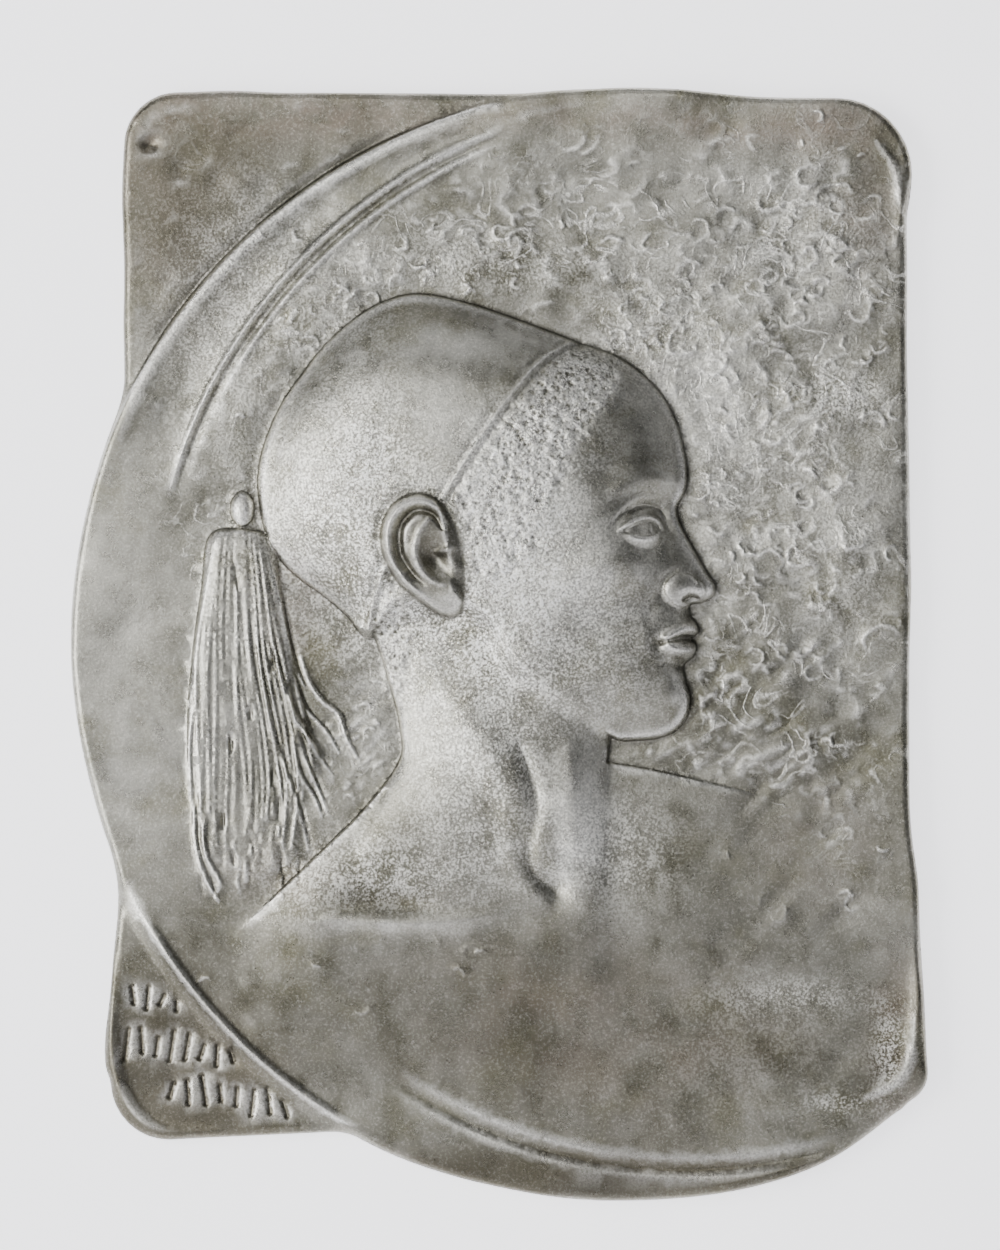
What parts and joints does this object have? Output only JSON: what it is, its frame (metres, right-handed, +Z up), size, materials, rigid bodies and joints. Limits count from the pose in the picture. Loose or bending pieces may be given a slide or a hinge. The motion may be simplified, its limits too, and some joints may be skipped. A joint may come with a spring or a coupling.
{
  "type": "relief plaque",
  "caption": "Cast metal wall plaque: profile head in a soft cap with a tassel, in relief before a crescent disc that reaches past a rounded slab.",
  "frame": {"origin": "hanging point: middle of the flat back rim at its top, where the plaque hangs on a wall", "axes": "+Z up, +X to the right as seen from the front, +Y into the wall; the front faces -Y"},
  "size_m": [0.3841, 0.046, 0.4988],
  "materials": {
    "pewter": "dull antique pewter grey, rubbed bright on the crests"
  },
  "bodies": {
    "root": {"plaque": "pewter"}
  },
  "joints": []
}
